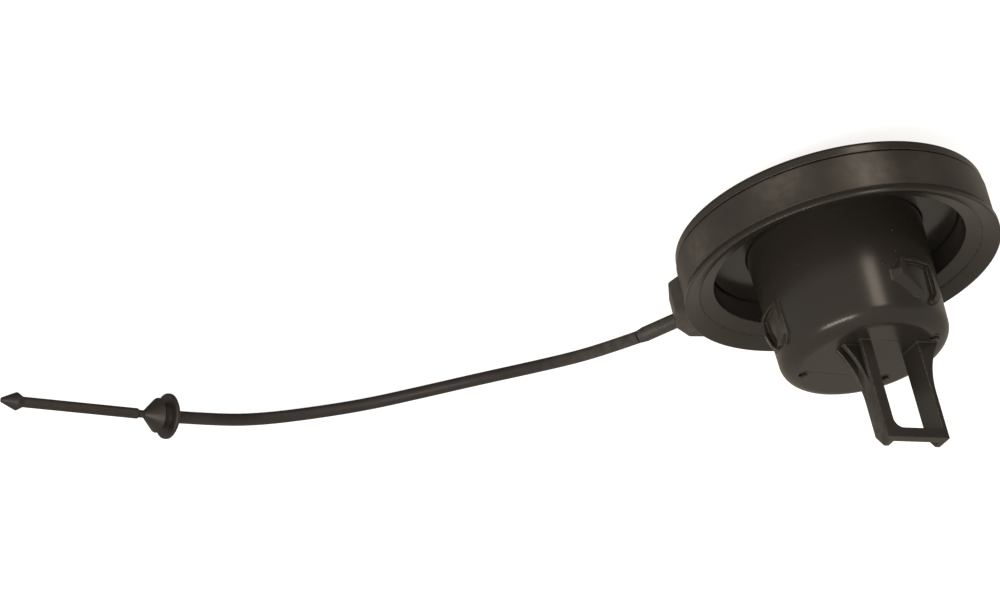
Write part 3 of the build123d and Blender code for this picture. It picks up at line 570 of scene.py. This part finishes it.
# ------------------------------------------------------------------------------ mould marks
@dataclass
class MouldMarks:
    """Small marks that the mould leaves on the plug: pips, vent rims and witness lines.

    Attributes:
        pips: (azimuth in degrees, level, radius) of each pip on the hub's side, in millimetres.
        pip_shape: how far a pip stands out, and its width and height, as shares of its radius.
        vents: (x, y) of the vents in the hub's end, in millimetres.
        rim_radius: from a vent's centre to the middle of its crescent, in millimetres.
        rim_wire: radius of the crescent's round section, in millimetres.
        rim_arc: where the crescent starts and how far it goes round, in degrees.
        lines: (x, y) at both ends of each witness line on the hub's end, in millimetres.
        line_section: width and height of a witness line, in millimetres; half of the height shows.
        line_chamfer: chamfer along a witness line's edges, in millimetres.
        root_radius: hub's radius at its root level, in millimetres.
        root_level: level of the hub's root, in millimetres.
        end_radius: hub's radius at its end, in millimetres.
        end_level: level of the hub's flat end, in millimetres.
    """

    pips: tuple[tuple[float, float, float], ...] = (
        (-58.3, 27.85, 0.22), (-111.5, 33.45, 0.42), (-88.8, 34.89, 0.24),
        (-125.1, 24.75, 0.25), (-123.5, 30.20, 0.25), (-70.3, 41.18, 0.18),
    )
    pip_shape: tuple[float, float, float] = (0.7, 1.0, 1.15)
    vents: tuple[tuple[float, float], ...] = ((15.70, -0.22), (-15.92, -3.01), (-3.63, 12.48))
    rim_radius: float = 1.42
    rim_wire: float = 0.16
    rim_arc: tuple[float, float] = (70.0, 230.0)
    lines: tuple[tuple[float, float, float, float], ...] = (
        (14.17, -1.04, 4.77, 6.01), (-2.88, -9.18, -7.59, -5.99),
    )
    line_section: tuple[float, float] = (0.14, 0.09)
    line_chamfer: float = 0.03
    root_radius: float = 21.4
    root_level: float = 14.47
    end_radius: float = 20.4
    end_level: float = 47.6

    def hub_radius(self, level: float) -> float:
        """Radius of the tapered hub at a level, in millimetres."""
        share = (level - self.root_level) / (self.end_level - self.root_level)
        return self.root_radius + (self.end_radius - self.root_radius) * share

    def pip(self, form: bmesh.types.BMesh, azimuth: float, level: float, radius: float) -> None:
        """Adds a low dome on the hub's side.

        Args:
            form: the mesh that takes it.
            azimuth: where it sits round the hub, in degrees.
            level: its level in millimetres.
            radius: its radius in millimetres.
        """
        out = self.hub_radius(level)
        angle = math.radians(azimuth)
        place = Vector((out * math.cos(angle), out * math.sin(angle), level)) * MM
        turn = Matrix.Translation(place) @ Matrix.Rotation(angle, 4, "Z")
        squat = Matrix.Diagonal((*self.pip_shape, 1.0))
        bmesh.ops.create_uvsphere(
            form, u_segments=14, v_segments=8, radius=radius * MM, matrix=turn @ squat,
        )

    def vent_rim(self, form: bmesh.types.BMesh, x: float, y: float) -> None:
        """Adds the raised crescent round a vent.

        Args:
            form: the mesh that takes it.
            x: the vent's centre along X, in millimetres.
            y: the vent's centre along Y, in millimetres.
        """
        centre = Vector((x, y, self.end_level)) * MM
        aside = Vector((self.rim_radius * MM, 0.0, 0.0))
        start = Matrix.Translation(centre + aside) @ Matrix.Rotation(math.pi / 2, 4, "X")
        ring = bmesh.ops.create_circle(
            form, cap_ends=True, segments=10, radius=self.rim_wire * MM, matrix=start,
        )
        loop = list({face for vert in ring["verts"] for face in vert.link_faces})
        first, sweep = (math.radians(degrees) for degrees in self.rim_arc)
        bmesh.ops.rotate(form, verts=ring["verts"], cent=centre, matrix=Matrix.Rotation(first, 3, "Z"))
        bmesh.ops.spin(
            form, geom=loop, cent=centre, axis=(0, 0, 1), angle=sweep, steps=26, use_duplicate=False,
        )

    def witness_line(self, form: bmesh.types.BMesh, ends: tuple[float, float, float, float]) -> None:
        """Adds the fine ridge where two halves of the mould met.

        Args:
            form: the mesh that takes it.
            ends: x and y of its two ends, in millimetres.
        """
        start = Vector((ends[0], ends[1], self.end_level)) * MM
        stop = Vector((ends[2], ends[3], self.end_level)) * MM
        along = stop - start
        turn = Matrix.Translation((start + stop) / 2) @ along.to_track_quat("X", "Z").to_matrix().to_4x4()
        width, height = self.line_section
        shape = Matrix.Diagonal((along.length, width * MM, height * MM, 1.0))
        bar = bmesh.ops.create_cube(form, size=1.0, matrix=turn @ shape)
        edges = list({edge for vert in bar["verts"] for edge in vert.link_edges})
        bmesh.ops.bevel(
            form, geom=edges, offset=self.line_chamfer * MM, offset_type="OFFSET", segments=1, profile=0.5,
            affect="EDGES", material=-1,
        )

    def build(self, paint: Paint) -> bpy.types.Object:
        """Makes all the marks as one piece on the plug.

        Args:
            paint: the materials.

        Returns:
            The marks' object.
        """
        form = bmesh.new()
        for azimuth, level, radius in self.pips:
            self.pip(form, azimuth, level, radius)
        for x, y in self.vents:
            self.vent_rim(form, x, y)
        for ends in self.lines:
            self.witness_line(form, ends)
        bmesh.ops.remove_doubles(form, verts=form.verts, dist=MERGE_GAP)
        bmesh.ops.recalc_face_normals(form, faces=form.faces)
        for face in form.faces:
            face.smooth = True
        marks = object_from(form, "mould_marks", paint.of_slot[Slot.MOULDING])
        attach(marks, Body.PLUG.value)
        LOG.info("made the mould marks")
        return marks


# ------------------------------------------------------------------------------ flange lip
@dataclass
class FlangeLip:
    """Raised rounded lip along the outer edge of the plug's flange, in millimetres.

    Attributes:
        radius: its outer radius, a hair outside the flange's wall.
        crest: level of its outer edge.
        brink: level of its inner edge, to which its top slopes.
        feet: levels of its outer and inner foot, inside the flange.
        width: its width, up to the faint step in the flange's open face.
        rounds: size of the outer and of the inner rounding.
        round_segments: strips across each rounding.
        steps: facets round the lip.
    """

    radius: float = 38.51
    crest: float = 24.45
    brink: float = 22.63
    feet: tuple[float, float] = (22.8, 21.9)
    width: float = 4.08
    rounds: tuple[float, float] = (0.42, 0.05)
    round_segments: int = 4
    steps: int = 180

    def build(self, paint: Paint) -> bpy.types.Object:
        """Turns the lip and rounds its top.

        Args:
            paint: the materials.

        Returns:
            The lip's object.
        """
        lathe = bmesh.new()
        outline = (
            (self.radius, self.feet[0]), (self.radius, self.crest),
            (self.radius - self.width, self.brink), (self.radius - self.width, self.feet[1]),
        )
        verts = [lathe.verts.new((x * MM, 0.0, z * MM)) for x, z in outline]
        edges = [lathe.edges.new(pair) for pair in zip(verts, verts[1:] + verts[:1])]
        bmesh.ops.spin(
            lathe, geom=verts + edges, cent=(0, 0, 0), axis=(0, 0, 1), angle=math.tau, steps=self.steps,
            use_merge=True, use_duplicate=False,
        )
        for level, size in zip((self.crest, self.brink), self.rounds):
            ring = [
                edge for edge in lathe.edges
                if all(abs(vert.co.z - level * MM) < SAME_LEVEL for vert in edge.verts)
            ]
            bmesh.ops.bevel(
                lathe, geom=ring, offset=size * MM, offset_type="OFFSET", segments=self.round_segments,
                profile=0.5, affect="EDGES", material=-1,
            )
        bmesh.ops.recalc_face_normals(lathe, faces=lathe.faces)
        for face in lathe.faces:
            face.smooth = True
        lip = object_from(lathe, "flange_lip", paint.of_slot[Slot.MOULDING])
        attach(lip, Body.PLUG.value)
        LOG.info("turned the flange lip")
        return lip


# ------------------------------------------------------------------------------ springs
@dataclass
class CoilSpring:
    """Steel coil spring, wound to the size of its CAD node.

    Attributes:
        node: the CAD node that it stands for, and takes its size from.
        body: the body that it rides on.
        joint: the joint that would squeeze it; not used.
        travel: the joint's travel, in millimetres; not used.
        wire: radius of the wire, in millimetres.
        turns: number of turns.
        held_low: True if its lower end stays where it is; not used.
        turn_steps: facets along one turn.
        wire_sides: facets round the wire.
    """

    node: str
    body: Body
    joint: str
    travel: float
    wire: float
    turns: int
    held_low: bool
    turn_steps: int = 30
    wire_sides: int = 10

    def build(self, paint: Paint) -> bpy.types.Object:
        """Winds the spring.

        Args:
            paint: the materials.

        Returns:
            The spring's object.
        """
        low, high = (Vector(corner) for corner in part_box(self.node))
        wire = self.wire * MM
        radius = (high.x - low.x) / 2 - wire
        steps = self.turns * self.turn_steps
        rise = (high.z - low.z - 2 * wire) / steps
        winding = bmesh.new()
        start = Matrix.Translation((radius, 0.0, low.z + wire)) @ Matrix.Rotation(math.pi / 2, 4, "X")
        ring = bmesh.ops.create_circle(
            winding, cap_ends=False, segments=self.wire_sides, radius=wire, matrix=start,
        )
        edges = list({edge for vert in ring["verts"] for edge in vert.link_edges})
        bmesh.ops.spin(
            winding, geom=ring["verts"] + edges, cent=(0, 0, 0), axis=(0, 0, 1), dvec=(0, 0, rise),
            angle=math.tau * self.turns, steps=steps, use_duplicate=False,
        )
        ends = [edge for edge in winding.edges if edge.is_boundary]
        bmesh.ops.holes_fill(winding, edges=ends, sides=0)
        bmesh.ops.recalc_face_normals(winding, faces=winding.faces)
        for face in winding.faces:
            face.smooth = len(face.verts) == 4
        spring = object_from(winding, f"{self.node}_wire", paint.of_slot[Slot.STEEL])
        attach(spring, self.body.value)
        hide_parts(self.node)
        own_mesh(spring)
        LOG.info("wound %s", self.node)
        return spring


VALVE_SPRINGS = (
    CoilSpring("pressure_spring", Body.PLUG, "pressure_lift", 2.5, 0.55, 4, True),
    CoilSpring("vacuum_spring", Body.PRESSURE_VALVE, "vacuum_lift", 1.5, 0.28, 5, False),
)


# ------------------------------------------------------------------------------ tether
@dataclass
class Tether:
    """Cord from the band's ferrule to the anchor.

    Attributes:
        exit: where the cord leaves the ferrule, in millimetres.
        route: the points that its smooth line follows, in millimetres.
        anchor: where the cord enters the anchor, in millimetres.
        radius: radius of the cord, in metres.
        length: real length of the cord, in metres; not used.
        roundness: how finely the cord is rounded.
        fineness: pieces of the smooth line between two points.
    """

    exit: tuple[float, float, float] = (49.71, 21.10, 17.80)
    route: list[tuple[float, float, float]] = field(default_factory=lambda: [
        (57.0, 26.6, 16.0),
        (65.5, 36.2, 12.0),
        (77.0, 46.0, 7.2),
        (90.5, 52.6, 3.7),
        (104.5, 56.0, 1.9),
        (119.0, 56.0, 1.6),
        (133.0, 53.2, 1.65),
        (145.5, 47.8, 2.5),
        (155.0, 39.6, 3.9),
    ])
    anchor: tuple[float, float, float] = (165.08, 27.87, 5.65)
    radius: float = 1.55 * MM
    length: float = 138.7 * MM
    roundness: int = 8
    fineness: int = 24

    def build(self, paint: Paint) -> bpy.types.Object:
        """Args:
            paint: the materials.

        Returns:
            The cord's curve object.
        """
        curve = bpy.data.curves.new("cord", "CURVE")
        curve.dimensions = "3D"
        curve.bevel_depth = self.radius
        curve.bevel_resolution = self.roundness
        curve.resolution_u = self.fineness
        curve.use_fill_caps = True
        spline = curve.splines.new("NURBS")
        points = [self.exit, *self.route, self.anchor]
        spline.points.add(len(points) - 1)
        for knot, point in zip(spline.points, points):
            knot.co = (*(value * MM for value in point), 1.0)
        spline.order_u = 3
        spline.use_endpoint_u = True
        cord = bpy.data.objects.new("cord", curve)
        bpy.context.collection.objects.link(cord)
        curve.materials.append(paint.of_slot[Slot.TETHER])
        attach(cord, Body.TETHER.value)
        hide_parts("tether_cord")
        LOG.info("laid the cord")
        return cord


# ------------------------------------------------------------------------------ studio
@dataclass(frozen=True)
class Lamp:
    """Soft rectangular light that faces the cap.

    Attributes:
        name: light's name.
        bearing: the way from the cap to the light.
        width: its width, in metres.
        power: its power in watts.
        tint: its colour.
        shape: height as a share of the width.
        aim: the point it faces, in metres.
        distance: metres from that point for each unit of the bearing.
    """

    name: str
    bearing: tuple[float, float, float]
    width: float
    power: float
    tint: tuple[float, float, float]
    shape: float
    aim: tuple[float, float, float] = (0.0, 0.0, 0.03)
    distance: float = 0.6

    def build(self) -> None:
        """Hangs the light and turns it to the point it faces."""
        aim = Vector(self.aim)
        place = aim + self.distance * Vector(self.bearing)
        data = bpy.data.lights.new(self.name, "AREA")
        data.shape = "RECTANGLE"
        data.size = self.width
        data.size_y = self.width * self.shape
        data.energy = self.power
        data.color = self.tint
        light = bpy.data.objects.new(self.name, data)
        light.rotation_mode = "QUATERNION"
        light.location = place
        light.rotation_quaternion = (aim - place).to_track_quat("-Z", "Y")
        bpy.context.collection.objects.link(light)


LAMPS = (
    Lamp("key", (-0.456, -0.82, -0.342), width=0.15, power=0.62, tint=(1.0, 0.86, 0.72), shape=2.2),
    Lamp("low_strip", (0.42, -0.78, 0.45), width=0.42, power=1.3, tint=(1.0, 0.92, 0.82), shape=0.16),
)


@dataclass
class Studio:
    """Pale floor, soft lights and the camera.

    Attributes:
        camera_place: where the camera stands, in metres.
        camera_right: the view's right, in the frame's axes.
        camera_up: the view's up, in the frame's axes.
        focal: focal length in millimetres.
        sensor: the sensor's width in millimetres.
        clip: nearest and farthest distance that the camera sees, in metres.
        floor_size: half of the floor's side, in metres.
        floor_tone: the floor's own colour.
        floor_glow: colour of the floor's own light.
        floor_power: strength of that light.
        front_tint: colour of the surroundings on the viewer's side.
        rear_tint: colour of the surroundings behind the cap.
        dim_corner: the way to the corner of the room that is dimmer.
    """

    camera_place: tuple[float, float, float] = (0.0801, -0.8974, 0.4541)
    camera_right: tuple[float, float, float] = (-0.9715, 0.1053, 0.2121)
    camera_up: tuple[float, float, float] = (-0.2368, -0.4320, -0.8702)
    focal: float = 151.5
    sensor: float = 36.0
    clip: tuple[float, float] = (0.01, 10.0)
    floor_size: float = 3.0
    floor_tone: tuple[float, float, float] = (0.8, 0.8, 0.79)
    floor_glow: tuple[float, float, float] = (1.0, 0.995, 0.985)
    floor_power: float = 0.85
    front_tint: tuple[float, float, float] = (1.0, 0.955, 0.875)
    rear_tint: tuple[float, float, float] = (1.0, 0.88, 0.74)
    dim_corner: tuple[float, float, float] = (-0.814, -0.470, -0.342)

    def camera(self) -> None:
        """Makes the scene's camera."""
        data = bpy.data.cameras.new("camera")
        data.lens = self.focal
        data.sensor_width = self.sensor
        data.clip_start, data.clip_end = self.clip
        camera = bpy.data.objects.new("camera", data)
        right = Vector(self.camera_right).normalized()
        up = Vector(self.camera_up)
        up = (up - right * up.dot(right)).normalized()
        back = right.cross(up)
        turn = Matrix((right, up, back)).transposed()
        camera.matrix_world = Matrix.Translation(self.camera_place) @ turn.to_4x4()
        bpy.context.collection.objects.link(camera)
        bpy.context.scene.camera = camera

    def floor_paper(self) -> bpy.types.Material:
        """Makes the floor's material: pale and softly glowing from above, clear from below.

        Returns:
            The material.
        """
        material = bpy.data.materials.new("pale_floor")
        material.use_nodes = True
        sheet = Sheet(material.node_tree)
        material.node_tree.nodes.clear()
        paper = sheet.node("ShaderNodeBsdfDiffuse")
        paper.inputs["Color"].default_value = rgba(self.floor_tone)
        glow = sheet.node("ShaderNodeEmission")
        glow.inputs["Color"].default_value = rgba(self.floor_glow)
        glow.inputs["Strength"].default_value = self.floor_power
        both = sheet.node("ShaderNodeAddShader")
        clear = sheet.node("ShaderNodeBsdfTransparent")
        side = sheet.node("ShaderNodeMixShader")
        geometry = sheet.node("ShaderNodeNewGeometry")
        out = sheet.node("ShaderNodeOutputMaterial")
        sheet.feed(both.inputs[0], paper.outputs[0])
        sheet.feed(both.inputs[1], glow.outputs[0])
        sheet.feed(side.inputs[0], geometry.outputs["Backfacing"])
        sheet.feed(side.inputs[1], both.outputs[0])
        sheet.feed(side.inputs[2], clear.outputs[0])
        sheet.feed(out.inputs[0], side.outputs[0])
        return material

    def floor(self) -> None:
        """Makes the pale floor; it throws no shadow, and the cap takes no light from it."""
        form = bmesh.new()
        bmesh.ops.create_grid(form, x_segments=1, y_segments=1, size=self.floor_size)
        floor = object_from(form, "floor", self.floor_paper())
        floor.visible_shadow = False
        floor.visible_diffuse = False
        floor.visible_glossy = False

    def surroundings(self) -> None:
        """Sets the warm surroundings, darker below the cap and in one corner."""
        world = bpy.data.worlds.new("surroundings")
        bpy.context.scene.world = world
        world.use_nodes = True
        sheet = Sheet(world.node_tree)
        ground = world.node_tree.nodes["Background"]
        look = sheet.node("ShaderNodeTexCoord").outputs["Generated"]
        height = sheet.node("ShaderNodeSeparateXYZ")
        sheet.feed(height.inputs[0], look)
        aside = sheet.node("ShaderNodeVectorMath", operation="DOT_PRODUCT")
        sheet.feed(aside.inputs[0], look)
        aside.inputs[1].default_value = self.dim_corner
        behind = sheet.span(height.outputs["Y"], low=-0.1, high=0.7, to_low=0.0, to_high=1.0)
        tint = sheet.blend(behind, rgba(self.front_tint), rgba(self.rear_tint))
        sheet.feed(ground.inputs["Color"], tint)
        floor_fall = sheet.span(height.outputs["Z"], low=-0.66, high=-0.43, to_low=0.10, to_high=0.42)
        corner_fall = sheet.span(aside.outputs["Value"], low=0.70, high=0.95, to_low=1.0, to_high=0.35)
        sheet.feed(ground.inputs["Strength"], sheet.math("MULTIPLY", floor_fall, corner_fall))

    def build(self) -> None:
        """Makes everything that isn't the cap."""
        self.camera()
        self.floor()
        self.surroundings()
        for lamp in LAMPS:
            lamp.build()
        bpy.context.scene.view_settings.view_transform = "Standard"
        LOG.info("studio is set")


def main() -> None:
    """Builds the looks of the cap round its frame."""
    logging.basicConfig(level=logging.INFO, format="%(name)s: %(message)s")
    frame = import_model()
    paint = Paint()
    paint.dress_nodes(frame)
    FlangeLip().build(paint)
    MouldMarks().build(paint)
    for spring in VALVE_SPRINGS:
        spring.build(paint)
    Tether().build(paint)
    Studio().build()


if __name__ == "__main__":
    main()
